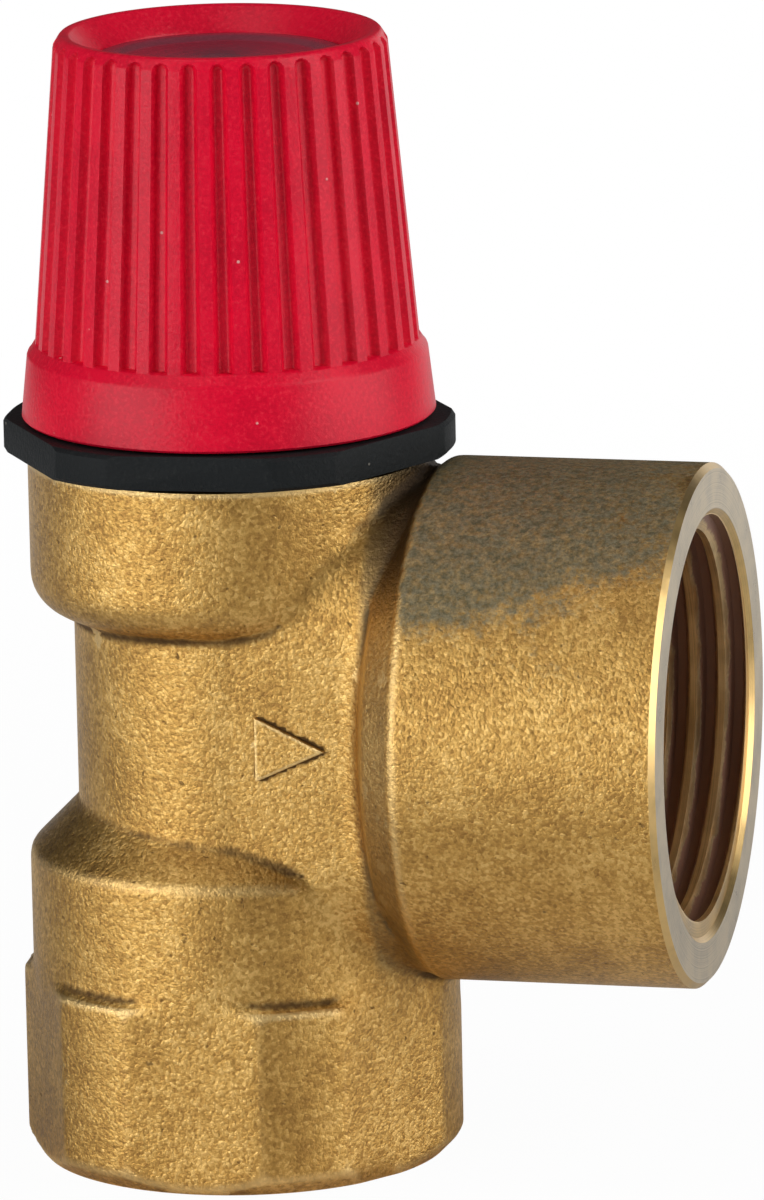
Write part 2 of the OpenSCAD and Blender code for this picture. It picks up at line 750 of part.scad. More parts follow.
// Brass cup for the seat disc, on a shank that reaches up to the diaphragm
module disc_holder() {
    rim_d = seat_disc_d + 2 * (fit_gap + holder_rim);
    rim_z = seat_disc_top_z - seat_disc_t * holder_rim_cover;
    color(brass)
        difference() {
            union() {
                post(rim_d, rim_z, holder_plate_top_z);
                post(holder_shank_d, seat_disc_top_z, diaphragm_z);
                post(holder_top_d, diaphragm_z - holder_top_t, diaphragm_z);
            }
            post(seat_disc_d + 2 * fit_gap, rim_z - over, seat_disc_top_z);
            post(disc_screw_d + 2 * fit_gap, seat_z, seat_disc_top_z + disc_screw_depth + fit_gap);
            post(stem_d + 2 * fit_gap, stem_low_z - fit_gap, diaphragm_z + over);
        }
}

// Rubber disc that closes the nozzle
module seat_disc() {
    color(rubber)
        ring(seat_disc_d, disc_screw_d + 2 * fit_gap, seat_z, seat_disc_top_z);
}

// Washer that holds the seat disc
module disc_retainer() {
    color(brass)
        ring(retainer_d, disc_screw_d + 2 * fit_gap, seat_z - retainer_t, seat_z);
}

// Slotted screw that holds retainer and seat disc in the holder
module disc_screw() {
    head_top_z = seat_z - retainer_t;
    head_z = head_top_z - disc_screw_head_h;
    color(brass)
        difference() {
            union() {
                post(disc_screw_head_d, head_z, head_top_z);
                post(disc_screw_d, head_top_z - over, seat_disc_top_z + disc_screw_depth);
            }
            translate([-disc_screw_head_d, -disc_screw_slot / 2, head_z - over])
                cube([2 * disc_screw_head_d, disc_screw_slot, over + disc_screw_slot]);
        }
}

valve_body();
bonnet();
slide_ring();
diaphragm();
adjusting_screw();
adjuster_lock_ring();
spring_top_plate();
spring();
lift_washer();
knob();
knob_cover();
stem();
lock_nut();
spring_bottom_plate();
diaphragm_washer();
diaphragm_nut();
disc_holder();
seat_disc();
disc_retainer();
disc_screw();
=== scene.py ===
import math

import bpy
from mathutils import Matrix, Vector


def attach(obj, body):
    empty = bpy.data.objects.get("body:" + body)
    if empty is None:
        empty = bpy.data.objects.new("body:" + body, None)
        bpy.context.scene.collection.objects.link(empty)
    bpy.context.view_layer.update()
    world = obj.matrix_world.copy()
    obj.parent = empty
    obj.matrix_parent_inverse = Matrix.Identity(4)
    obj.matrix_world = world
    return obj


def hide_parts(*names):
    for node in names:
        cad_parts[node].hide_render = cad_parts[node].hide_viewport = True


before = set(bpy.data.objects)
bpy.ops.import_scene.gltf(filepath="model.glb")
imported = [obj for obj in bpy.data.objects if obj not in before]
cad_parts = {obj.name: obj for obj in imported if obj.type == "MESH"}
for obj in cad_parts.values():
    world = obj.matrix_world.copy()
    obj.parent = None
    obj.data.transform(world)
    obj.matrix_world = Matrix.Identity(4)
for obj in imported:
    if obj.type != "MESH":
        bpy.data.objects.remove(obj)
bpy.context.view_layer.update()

# Valve body: one brass forging that carries everything else. It is blasted, then turned and
# threaded at both ports and bored for the nozzle, the chamber and the diaphragm. Its outside keeps
# the grainy forged skin, with bright cut brass only where a tool has been.
MM = 0.001
stem_axis = (0, 0, 1)
outlet_axis = (1, 0, 0)
outlet_z = 35.5
outlet_centre = (0, 0, outlet_z)


def arc(radius, height, bend, start, end, steps=10):
    """Points of a round stretch of an outline about (radius, height), between two angles."""
    angles = [math.radians(start + (end - start) * i / steps) for i in range(steps + 1)]
    return [(radius + bend * math.cos(angle), height + bend * math.sin(angle)) for angle in angles]


def turned(name, outline, axis=stem_axis, centre=(0, 0, 0), steps=160):
    """Turns an outline of (radius, height) points in millimetres round an axis, as on a lathe."""
    middle = Vector(centre) * MM
    along = Vector(axis)
    across = Vector((1, 0, 0)) if axis == stem_axis else Vector((0, 0, 1))
    points = [middle + (across * radius + along * height) * MM for radius, height in outline]
    bpy.ops.object.select_all(action="DESELECT")
    bpy.ops.mesh.primitive_plane_add(size=MM)
    piece = bpy.context.object
    piece.name = name
    bpy.ops.object.mode_set(mode="EDIT")
    bpy.ops.mesh.merge(type="CENTER")
    bpy.ops.transform.translate(value=points[0])
    for here, there in zip(points, points[1:]):
        bpy.ops.mesh.extrude_region_move(TRANSFORM_OT_translate={"value": there - here})
    bpy.ops.mesh.select_all(action="SELECT")
    bpy.ops.mesh.spin(steps=steps, angle=math.tau, center=middle, axis=axis)
    bpy.ops.mesh.select_all(action="SELECT")
    bpy.ops.mesh.remove_doubles(threshold=1e-6)
    bpy.ops.mesh.normals_make_consistent(inside=False)
    bpy.ops.object.mode_set(mode="OBJECT")
    return piece


def hexagon(name, across_flats, low, high, turn=0):
    """Hexagon bar along the stem axis, with a corner towards the outlet when it isn't turned."""
    bpy.ops.object.select_all(action="DESELECT")
    bpy.ops.mesh.primitive_cylinder_add(
        vertices=6, radius=across_flats * MM / 2 / math.cos(math.radians(30)),
        depth=(high - low) * MM, location=(0, 0, (low + high) * MM / 2),
        rotation=(0, 0, math.radians(30 + turn)))
    bpy.ops.object.transform_apply(location=True, rotation=True, scale=True)
    bpy.context.object.name = name
    return bpy.context.object


def apply(piece, kind, **settings):
    """Adds a modifier to a piece and applies it at once."""
    modifier = piece.modifiers.new(kind.lower(), kind)
    for name, value in settings.items():
        setattr(modifier, name, value)
    bpy.ops.object.select_all(action="DESELECT")
    bpy.context.view_layer.objects.active = piece
    bpy.ops.object.modifier_apply(modifier=modifier.name)


def join_solids(piece, other, operation="UNION"):
    """Adds a second solid to a piece, cuts it away or keeps what both share, and uses it up."""
    apply(piece, "BOOLEAN", operation=operation, object=other, solver="MANIFOLD",
          material_mode="TRANSFER")
    bpy.data.objects.remove(other)


def thread_ridge(name, major, minor, pitch, start, end, axis, centre):
    """Right-hand ridge of a pipe thread, with its foot sunk a little into the wall of the bore."""
    foot, flank_angle, turn_steps = 0.15, 27.5, 80
    flank = (major - minor) / 2 * math.tan(math.radians(flank_angle))
    crest = (pitch - 2 * flank) / 2
    turns = (end - start) / pitch
    steps = int(turn_steps * turns)
    across = Vector((1, 0, 0)) if axis == stem_axis else Vector((0, 0, 1))
    bpy.ops.object.select_all(action="DESELECT")
    bpy.ops.mesh.primitive_plane_add(size=MM)
    piece = bpy.context.object
    piece.name = name
    profile = [(major / 2 + foot, 0), (major / 2 + foot, crest + 2 * flank),
               (minor / 2, crest + flank), (minor / 2, flank)]
    corners = [piece.data.vertices[i] for i in piece.data.polygons[0].vertices]
    for corner, (radius, height) in zip(corners, profile):
        corner.co = (across * radius + Vector(axis) * (start + height)) * MM
    apply(piece, "SCREW", axis="Z" if axis == stem_axis else "X", angle=math.tau * turns,
          screw_offset=turns * pitch * MM, steps=steps, render_steps=steps,
          use_normal_calculate=False)
    piece.location = Vector(centre) * MM
    piece.select_set(True)
    bpy.ops.object.transform_apply(location=True, rotation=True, scale=True)
    bpy.ops.object.mode_set(mode="EDIT")
    bpy.ops.mesh.select_all(action="SELECT")
    bpy.ops.mesh.remove_doubles(threshold=1e-6)
    bpy.ops.mesh.fill_holes(sides=4)
    bpy.ops.mesh.normals_make_consistent(inside=False)
    bpy.ops.object.mode_set(mode="OBJECT")
    return piece


def new_node(tree, kind, values=None, **settings):
    """Adds a shader node, with values for its sockets by name or number and its own settings."""
    made = tree.nodes.new(kind)
    for name, value in settings.items():
        setattr(made, name, value)
    for socket, value in (values or {}).items():
        made.inputs[socket].default_value = value
    return made


def new_ramp(tree, factor, stops):
    """Adds a colour ramp with the given (place, colour) stops to a value."""
    ramp = new_node(tree, "ShaderNodeValToRGB")
    ends = ramp.color_ramp.elements
    while len(ends) < len(stops):
        ends.new(0.5)
    for end, (place, colour) in zip(ends, stops):
        end.position = place
        end.color = (*colour, 1)
    tree.links.new(factor, ramp.inputs["Fac"])
    return ramp.outputs["Color"]


def new_mask(tree, value, low, high):
    """Turns a value into a soft mask that is 0 at low and 1 at high."""
    made = new_node(tree, "ShaderNodeMapRange", {"From Min": low, "From Max": high},
                    interpolation_type="SMOOTHSTEP")
    tree.links.new(value, made.inputs["Value"])
    return made.outputs["Result"]


def new_math(tree, operation, first, second):
    """Joins two values, each a socket or a number, by a step of arithmetic."""
    made = new_node(tree, "ShaderNodeMath", operation=operation)
    for i, value in enumerate((first, second)):
        if isinstance(value, (int, float)):
            made.inputs[i].default_value = value
        else:
            tree.links.new(value, made.inputs[i])
    return made.outputs["Value"]


def new_product(tree, first, *others):
    """Multiplies a value by others, each a socket or a number."""
    for other in others:
        first = new_math(tree, "MULTIPLY", first, other)
    return first


def new_edge(tree, place, edge):
    """Soft mask over a coordinate, from 0 at the edge's first millimetre mark to 1 at its second."""
    low, high = edge
    return new_mask(tree, place, low * MM, high * MM)


def new_mix(tree, factor, under, over):
    """Lays one colour over another by a mask. Each colour is a socket or three numbers."""
    made = new_node(tree, "ShaderNodeMix", data_type="RGBA")
    tree.links.new(factor, made.inputs[0])
    for socket, colour in zip((made.inputs[6], made.inputs[7]), (under, over)):
        if isinstance(colour, tuple):
            socket.default_value = (*colour, 1)
        else:
            tree.links.new(colour, socket)
    return made.outputs[2]


def new_noise(tree, coords, scale, detail=3, roughness=0.6):
    """Adds a noise over the piece's own coordinates, with the scale in grains per metre."""
    made = new_node(tree, "ShaderNodeTexNoise",
                    {"Scale": scale, "Detail": detail, "Roughness": roughness})
    tree.links.new(coords, made.inputs["Vector"])
    return made.outputs["Fac"]


def new_bump(tree, height, strength, depth):
    """Adds a bump of the given depth in millimetres, driven by a height."""
    made = new_node(tree, "ShaderNodeBump", {"Strength": strength, "Distance": depth * MM})
    tree.links.new(height, made.inputs["Height"])
    return made.outputs["Normal"]


def new_material(name, **values):
    """Makes a material and returns it with its node tree, its shader and the object coordinates."""
    material = bpy.data.materials.new(name)
    material.use_nodes = True
    tree = material.node_tree
    shader = tree.nodes["Principled BSDF"]
    for socket, value in values.items():
        shader.inputs[socket.replace("_", " ").title()].default_value = value
    coords = new_node(tree, "ShaderNodeTexCoord").outputs["Object"]
    return material, tree, shader, coords


def flare_and_pocket_shade(tree, place):
    """Masks for painted shade on the flare beside the outlet boss and in the pocket below the flange."""
    flare_from, flare_to, flare_low = (13.1, 14.0), (17.5, 16.8), (15.5, 18.5)
    pocket_from, pocket_to, pocket_low = (13.0, 14.0), (17.6, 16.8), (46.0, 49.0)
    pocket_slope, pocket_side = 0.667, (40.0, 38.9)
    upper_from, upper_low = (12.6, 15.5), (45.0, 52.5)
    x, y, z = (place.outputs[way] for way in "XYZ")
    flare_end = new_edge(tree, x, flare_to)
    flare = new_product(tree, new_edge(tree, x, flare_from), flare_end, new_edge(tree, z, flare_low))
    slant = new_math(tree, "ADD", new_math(tree, "ABSOLUTE", y, 0.0), new_product(tree, z, pocket_slope))
    pocket = new_product(tree, new_edge(tree, slant, pocket_side), new_edge(tree, x, pocket_to),
                         new_edge(tree, x, pocket_from), new_edge(tree, z, pocket_low))
    upper = new_product(tree, new_edge(tree, x, upper_from), flare_end, new_edge(tree, z, upper_low))
    return flare, new_math(tree, "MAXIMUM", pocket, upper)


def outlet_tarnish(tree, coords, place, grain):
    """Mask of the grey tarnish on top of the outlet boss, ragged at its edge and patchy inside."""
    from_boss, to_face, face_slope, upper = (16.0, 18.5), (50.0, 29.0), 0.2, (37.5, 47.0)
    wander, grain_share, ragged = 2.2, 0.7, (1.75, 2.15)
    x, z = place.outputs["X"], place.outputs["Z"]
    rise = new_math(tree, "SUBTRACT", z, new_product(tree, x, face_slope))
    spread = new_product(tree, new_edge(tree, x, from_boss), new_edge(tree, x, to_face),
                         new_edge(tree, rise, upper))
    edge = new_math(tree, "ADD", new_product(tree, new_noise(tree, coords, 130, 8, 0.75), wander),
                    new_product(tree, grain, grain_share))
    patchy = new_node(tree, "ShaderNodeMapRange", {"From Min": 0.38, "From Max": 0.58, "To Min": 0.68})
    tree.links.new(new_noise(tree, coords, 1500, 5, 0.75), patchy.inputs["Value"])
    return new_product(tree, new_mask(tree, new_math(tree, "ADD", spread, edge), *ragged),
                       patchy.outputs["Result"])


def forged_brass():
    """Blasted brass skin: fine grain with painted glints, dark pits, painted shade in the creases, the
    flare and the pocket below the flange, rubbed convex edges with a painted highlight, and a tarnish on
    the outlet."""
    hollow_gold, mid_gold, bright_gold = (0.37, 0.20, 0.055), (0.58, 0.336, 0.09), (0.82, 0.53, 0.18)
    rubbed_and_highlight_gold, crease_shade_and_pit_brown = (0.93, 0.68, 0.31), (0.09, 0.05, 0.024)
    flare_shade_grey, pocket_shade_brown = (0.18, 0.15, 0.085), (0.05, 0.03, 0.02)
    tarnish_dark, tarnish_light = (0.115, 0.102, 0.055), (0.24, 0.21, 0.13)
    mottle_share, grain_share, painted_glint_share = 0.35, 0.45, 0.2
    rubbed_and_highlight_share, crease_shade_share, pit_share, flare_share, pocket_share = 0.6, 0.9, 0.6, 0.5, 0.8
    tarnish_cover, dull_share, pit_depth, facet_depth = 0.45, 0.3, 0.3, 0.3
    shine, grain_strength, grain_depth = 0.25, 0.6, 0.18
    rubbed_and_highlight_points, crease_shade_points, pit_edge = (0.506, 0.527), (0.494, 0.475), (0.70, 0.75)
    material, tree, shader, coords = new_material("forged_brass")
    shader.inputs["Specular IOR Level"].default_value = shine
    mottle = new_noise(tree, coords, 190, 5, 0.6)
    grain = new_noise(tree, coords, 2100, 4, 0.8)
    facets = new_node(tree, "ShaderNodeTexVoronoi", {"Scale": 3700})
    tree.links.new(coords, facets.inputs["Vector"])
    # Each Voronoi grain cell is raised toward bright gold by a random amount: painted glints on the
    # grain.
    tone = new_math(tree, "ADD", new_product(tree, mottle, mottle_share),
                    new_product(tree, grain, grain_share))
    tone = new_math(tree, "ADD", tone, new_product(tree, facets.outputs["Color"], painted_glint_share))
    colour = new_ramp(tree, tone, [(0.38, hollow_gold), (0.5, mid_gold), (0.62, bright_gold)])

    # Convex edges, found by pointiness, are lifted toward pale gold: partly rubbed wear, partly a painted
    # highlight.
    pointed = new_node(tree, "ShaderNodeNewGeometry").outputs["Pointiness"]
    rubbed_and_highlight = new_product(tree, new_mask(tree, pointed, *rubbed_and_highlight_points), rubbed_and_highlight_share)
    colour = new_mix(tree, rubbed_and_highlight, colour, rubbed_and_highlight_gold)
    # Concave creases, found by pointiness, are darkened toward brown: painted shade. The random pits take
    # the same brown.
    crease_shade = new_product(tree, new_mask(tree, pointed, *crease_shade_points), crease_shade_share)
    pits = new_mask(tree, new_noise(tree, coords, 1300, 2, 0.5), *pit_edge)
    crease_shade_and_pits = new_math(tree, "MAXIMUM", crease_shade, new_product(tree, pits, pit_share))
    colour = new_mix(tree, crease_shade_and_pits, colour, crease_shade_and_pit_brown)

    place = new_node(tree, "ShaderNodeSeparateXYZ")
    tree.links.new(coords, place.inputs["Vector"])
    flare, pocket = flare_and_pocket_shade(tree, place)
    # The flare is painted grey-brown and the pocket dark brown: painted shade in these recesses.
    colour = new_mix(tree, new_product(tree, flare, flare_share), colour, flare_shade_grey)
    colour = new_mix(tree, new_product(tree, pocket, pocket_share), colour, pocket_shade_brown)
    tarnish = outlet_tarnish(tree, coords, place, grain)
    grey = new_ramp(tree, grain, [(0.40, tarnish_dark), (0.60, tarnish_light)])
    tree.links.new(new_mix(tree, tarnish, colour, grey), shader.inputs["Base Color"])

    bare = new_math(tree, "SUBTRACT", 1.0, new_product(tree, tarnish, tarnish_cover))
    tree.links.new(bare, shader.inputs["Metallic"])
    rough = new_node(tree, "ShaderNodeMapRange", {"To Min": 0.27, "To Max": 0.42})
    tree.links.new(mottle, rough.inputs["Value"])
    dull = new_product(tree, new_math(tree, "MAXIMUM", tarnish, crease_shade_and_pits), dull_share)
    tree.links.new(new_math(tree, "ADD", rough.outputs["Result"], dull), shader.inputs["Roughness"])
    height = new_math(tree, "SUBTRACT", grain, new_product(tree, pits, pit_depth))
    height = new_math(tree, "SUBTRACT", height,
                      new_product(tree, facets.outputs["Distance"], facet_depth))
    tree.links.new(new_bump(tree, height, grain_strength, grain_depth), shader.inputs["Normal"])
    return material


def turning_marks():
    """Node group: the fine rings that a turning tool leaves round the coordinates' Z axis."""
    group = bpy.data.node_groups.new("turning_marks", "ShaderNodeTree")
    group.interface.new_socket("Vector", in_out="INPUT", socket_type="NodeSocketVector")
    group.interface.new_socket("Rings", in_out="INPUT", socket_type="NodeSocketFloat")
    group.interface.new_socket("Height", in_out="OUTPUT", socket_type="NodeSocketFloat")
    group.interface.new_socket("Radius", in_out="OUTPUT", socket_type="NodeSocketFloat")
    given = new_node(group, "NodeGroupInput")
    place = new_node(group, "ShaderNodeSeparateXYZ")
    group.links.new(given.outputs["Vector"], place.inputs["Vector"])
    square = [new_product(group, place.outputs[way], place.outputs[way]) for way in "XY"]
    radius = new_math(group, "SQRT", new_math(group, "ADD", *square), 0.0)
    feed = new_math(group, "ADD", radius, place.outputs["Z"])
    rings = new_node(group, "ShaderNodeTexNoise", {"Scale": 1.0, "Detail": 2.0},
                     noise_dimensions="1D")
    group.links.new(new_product(group, feed, given.outputs["Rings"]), rings.inputs["W"])
    result = new_node(group, "NodeGroupOutput")
    group.links.new(rings.outputs["Fac"], result.inputs["Height"])
    group.links.new(radius, result.inputs["Radius"])
    return group


tool_marks = turning_marks()


def cut_brass(name, axis=stem_axis, centre=(0, 0, 0), tint=(0.72, 0.49, 0.20), gloss=(0.2, 0.42),
              marks_depth=0.006, oxide_and_shade_from=None):
    """Bright metal straight from the lathe, stained a little and ringed round its axis. In a thread,
    the roots that lie further out than the given radius are darkened brown: partly oxide, partly painted
    shade."""
    worn_share, rings_per_metre, marks_share, stain_share = 0.72, 9000, 0.4, 0.6
    oxide_and_shade_brown, oxide_and_shade_reach, oxide_and_shade_wander, oxide_cover = (0.25, 0.125, 0.08), 0.4, 2, 0.7
    worn = tuple(worn_share * channel for channel in tint)
    material, tree, shader, coords = new_material(name, metallic=1.0)
    turn = (0, 0, 0) if axis == stem_axis else (0, math.radians(-90), 0)
    mapping = new_node(tree, "ShaderNodeMapping", {"Rotation": turn})
    offset = new_node(tree, "ShaderNodeVectorMath", {1: Vector(centre) * MM}, operation="SUBTRACT")
    tree.links.new(coords, offset.inputs[0])
    tree.links.new(offset.outputs["Vector"], mapping.inputs["Vector"])
    marks = new_node(tree, "ShaderNodeGroup", node_tree=tool_marks)
    marks.inputs["Rings"].default_value = rings_per_metre
    tree.links.new(mapping.outputs["Vector"], marks.inputs["Vector"])
    stain = new_noise(tree, coords, 260, 4, 0.65)
    tone = new_math(tree, "ADD", new_product(tree, marks.outputs["Height"], marks_share),
                    new_product(tree, stain, stain_share))
    colour = new_ramp(tree, tone, [(0.38, worn), (0.56, tint)])
    # Thread roots beyond that radius turn brown and less metallic: partly oxide, partly painted shade in
    # the roots.
    if oxide_and_shade_from:
        wander = new_product(tree, new_math(tree, "SUBTRACT", stain, 0.5), oxide_and_shade_wander * MM)
        outward = new_math(tree, "ADD", marks.outputs["Radius"], wander)
        oxide_and_shade = new_edge(tree, outward, (oxide_and_shade_from, oxide_and_shade_from + oxide_and_shade_reach))
        colour = new_mix(tree, oxide_and_shade, colour, oxide_and_shade_brown)
        bare = new_math(tree, "SUBTRACT", 1.0, new_product(tree, oxide_and_shade, oxide_cover))
        tree.links.new(bare, shader.inputs["Metallic"])
    tree.links.new(colour, shader.inputs["Base Color"])
    rough = new_node(tree, "ShaderNodeMapRange", {"To Min": gloss[0], "To Max": gloss[1]})
    tree.links.new(stain, rough.inputs["Value"])
    tree.links.new(rough.outputs["Result"], shader.inputs["Roughness"])
    tree.links.new(new_bump(tree, marks.outputs["Height"], 1.0, marks_depth), shader.inputs["Normal"])
    return material


# Forged shapes of the body, longer than the finished piece at every face that is cut later.
hex_af, hex_top, corner_r, boss_r, ledge_fall = 33, 15.1, 17.4, 16.6, 0.3
edge_chamfer, spare = 1.3, 1.5
valve_body = hexagon("valve_body_brass", hex_af, -spare, hex_top)
join_solids(valve_body, turned("hex_corners", [
    (0, -spare), (corner_r - edge_chamfer - spare, -spare), (corner_r, edge_chamfer),
    (corner_r, hex_top - ledge_fall), (boss_r, hex_top), (0, hex_top)]), "INTERSECT")

neck_r, neck_x, shoulder_top, shoulder_bend, shoulder_slope = 13.9, 1.3, 28.8, 1.4, 45
boss_sink, boss_inset, boss_start, neck_sink, neck_over = 6, 1, 1, 2, 1
slope_foot = shoulder_top - (boss_r - (neck_r - neck_x))
bend_height = slope_foot - shoulder_bend * math.tan(math.radians(shoulder_slope / 2))
join_solids(valve_body, turned("inlet_boss", [
    (0, hex_top - boss_sink), (boss_r - boss_inset, hex_top - boss_sink),
    (boss_r - boss_inset, hex_top - boss_start), (boss_r, hex_top - boss_start),
    *arc(boss_r - shoulder_bend, bend_height, shoulder_bend, 0, shoulder_slope),
    (neck_r - neck_x, shoulder_top), (0, shoulder_top)]))
collar_r, collar_low, collar_top, collar_bend = 16, 44.1, 56.4, 3.2
join_solids(valve_body, turned("neck", [
    (0, shoulder_top - neck_sink), (neck_r, shoulder_top - neck_sink),
    (neck_r, collar_low + neck_over), (0, collar_low + neck_over)], centre=(neck_x, 0, 0)))
join_solids(valve_body, turned("collar", [
    (0, collar_low), *arc(collar_r - collar_bend, collar_low + collar_bend, collar_bend, -90, 0),
    (collar_r, collar_top + spare), (0, collar_top + spare)]))


def prism(name, corners, along):
    """Straight bar that runs from a flat outline of corners along a way, all in millimetres."""
    bpy.ops.object.select_all(action="DESELECT")
    bpy.ops.mesh.primitive_circle_add(vertices=len(corners), radius=MM, fill_type="NGON")
    piece = bpy.context.object
    piece.name = name
    for point, corner in zip(piece.data.vertices, corners):
        point.co = Vector(corner) * MM
    bpy.ops.object.mode_set(mode="EDIT")
    bpy.ops.mesh.select_all(action="SELECT")
    bpy.ops.mesh.extrude_region_move(TRANSFORM_OT_translate={"value": Vector(along) * MM})
    bpy.ops.mesh.select_all(action="SELECT")
    bpy.ops.mesh.normals_make_consistent(inside=False)
    bpy.ops.object.mode_set(mode="OBJECT")
    return piece


# Core with flat sides and round long edges, from the neck to the outlet boss and its flare.
core_side, core_height, core_bend = 13.8, 39, 11
foot_r, foot_x, knee_r, knee_x = 13.4, 13.1, 18.2, 14.55
outlet_r, outlet_inner_x, outlet_x, boss_bend, bend_start = 20.7, 17.65, 38.4, 0.35, -38
bend_y, bend_z = core_side - core_bend, core_height / 2 - core_bend
core_section = [*arc(bend_y, bend_z, core_bend, 0, 90), *arc(-bend_y, bend_z, core_bend, 90, 180),
                *arc(-bend_y, -bend_z, core_bend, 180, 270), *arc(bend_y, -bend_z, core_bend, 270, 360)]
join_solids(valve_body, prism("core", [(neck_x, y, outlet_z + z) for y, z in core_section],
                              (outlet_inner_x + spare - neck_x, 0, 0)))
join_solids(valve_body, turned("flare", [
    (0, foot_x), (foot_r, foot_x), (knee_r, knee_x),
    *arc(outlet_r - boss_bend, outlet_inner_x, boss_bend, bend_start, 0), (0, outlet_inner_x)],
    outlet_axis, outlet_centre))
join_solids(valve_body, turned("outlet_boss", [
    (0, outlet_inner_x), (outlet_r, outlet_inner_x), (outlet_r, outlet_x + spare),
    (0, outlet_x + spare)], outlet_axis, outlet_centre))

# The forging's edges are softened all over.
skin_mesh, arrow_mesh, smooth_steps, run_out_steps = 0.37, 0.15, 3, 60
apply(valve_body, "REMESH", mode="VOXEL", voxel_size=skin_mesh * MM)
apply(valve_body, "SMOOTH", factor=0.5, iterations=smooth_steps)


def ease(value, low, high):
    """Goes softly from 0 at low to 1 at high."""
    share = min(max((value - low) / (high - low), 0), 1)
    return share * share * (3 - 2 * share)


# On the outlet's side the collar's lower edge, the shoulder and the flare's foot run out softly into
# the core, and the notch below the outlet boss is filled. Edges are in millimetres.
run_out = valve_body.vertex_groups.new(name="run_out")
for point in valve_body.data.vertices:
    x, _, z = point.co / MM
    collar_end = ease(x, 6.5, 8.5) * ease(x, 14, 12) * ease(z, 42, 44) * ease(z, 54, 51)
    flare_foot = ease(x, 11.8, 12.6) * ease(x, 14.4, 13.8) * (1 - 0.7 * ease(z, 44, 48))
    low_notch = ease(x, 10.5, 12.5) * ease(x, 18, 17) * ease(z, 11, 13.5) * ease(z, 21, 18.5)
    boss_end = ease(x, 8, 10) * ease(x, 15, 13) * ease(z, 15, 17.5) * ease(z, 26, 23.5)
    run_out.add([point.index], max(collar_end, flare_foot, low_notch, boss_end), "REPLACE")
apply(valve_body, "SMOOTH", factor=0.5, iterations=run_out_steps, vertex_group="run_out")

# The raised flow arrow on the front of the core, meshed more finely to keep its edges crisp.
arrow_x, arrow_length, arrow_height, arrow_z, arrow_rise = 5.1, 5.6, 5.2, 35.7, 0.5
tip_and_feet = [(arrow_x + arrow_length, 0), (arrow_x, arrow_height / 2), (arrow_x, -arrow_height / 2)]
arrow = prism("arrow", [(x, spare - core_side, arrow_z + z) for x, z in tip_and_feet],
              (0, -spare - arrow_rise, 0))
apply(arrow, "REMESH", mode="VOXEL", voxel_size=arrow_mesh * MM)
apply(arrow, "SMOOTH", factor=0.5, iterations=smooth_steps)
join_solids(valve_body, arrow)
valve_body.data.materials.clear()
valve_body.data.materials.append(forged_brass())

# Bores, threads and faces, in the order in which they are cut.
inlet_major, inlet_minor, inlet_pitch, inlet_depth = 26.441, 24.118, 1.814, 15.5
outlet_major, outlet_minor, outlet_pitch, outlet_depth = 33.249, 30.9, 2.309, 18
nozzle_r, nozzle_wall, seat_z, seat_lip = 7, 1.6, 31.5, 0.8
chamber_r, chamber_floor, diaphragm_z, collar_bore_r = 11, 25.5, 47, 14
passage_r, passage_x, inlet_cone, outlet_cone = 10, 8.9, 3, 2.5
thread_over, inlet_thread_rest, outlet_thread_rest, clear_r = 1, 1, 1.5, 26
stem_cut = cut_brass("cut_brass_stem_axis")
outlet_cut = cut_brass("cut_brass_outlet_axis", outlet_axis, outlet_centre)
thread_cut = cut_brass("threaded_brass", outlet_axis, outlet_centre, tint=(0.90, 0.66, 0.34),
                       gloss=(0.3, 0.45), oxide_and_shade_from=15.75)
faced_brass = cut_brass("faced_brass", outlet_axis, outlet_centre, tint=(0.72, 0.60, 0.42),
                        marks_depth=0.02)


def machine(cutter, material, operation="DIFFERENCE"):
    """Cuts the body, or adds a thread to it, and leaves the tool's finish on the new faces."""
    cutter.data.materials.append(material)
    join_solids(valve_body, cutter, operation)


nozzle_out_r = nozzle_r + nozzle_wall
machine(turned("stem_bores", [
    (0, -2 * spare), (inlet_major / 2, -2 * spare), (inlet_major / 2, inlet_depth),
    (nozzle_r, inlet_depth + inlet_cone), (nozzle_r, seat_z), (nozzle_r + seat_lip, seat_z),
    (nozzle_out_r, seat_z - nozzle_wall + seat_lip), (nozzle_out_r, chamber_floor),
    (chamber_r, chamber_floor), (chamber_r, diaphragm_z), (collar_bore_r, diaphragm_z),
    (collar_bore_r, collar_top + 2 * spare), (0, collar_top + 2 * spare)]), stem_cut)
machine(turned("outlet_bores", [
    (0, passage_x), (passage_r, passage_x), (passage_r, outlet_x - outlet_depth - outlet_cone),
    (outlet_major / 2, outlet_x - outlet_depth), (outlet_major / 2, outlet_x + 2 * spare),
    (0, outlet_x + 2 * spare)], outlet_axis, outlet_centre), thread_cut)
machine(thread_ridge("inlet_thread", inlet_major, inlet_minor, inlet_pitch, -thread_over,
                     inlet_depth - inlet_thread_rest, stem_axis, (0, 0, 0)), stem_cut, "UNION")
machine(thread_ridge("outlet_thread", outlet_major, outlet_minor, outlet_pitch,
                     outlet_x - outlet_depth + outlet_thread_rest, outlet_x + thread_over,
                     outlet_axis, outlet_centre), thread_cut, "UNION")
mouth_out, mouth_in, mouth_depth = 0.3, 0.2, 1.7
machine(turned("inlet_face", [
    (0, -3 * spare), (clear_r, -3 * spare), (clear_r, 0), (inlet_major / 2 + mouth_out, 0),
    (inlet_minor / 2 - mouth_in, mouth_depth), (0, mouth_depth)]), stem_cut)
outlet_chamfer, lead_in, mouth_r, edge_reach = 0.45, 0.4, 17.1, 3
edge_x = outlet_x - outlet_chamfer - edge_reach
outlet_clear_x = outlet_x + 3 * spare
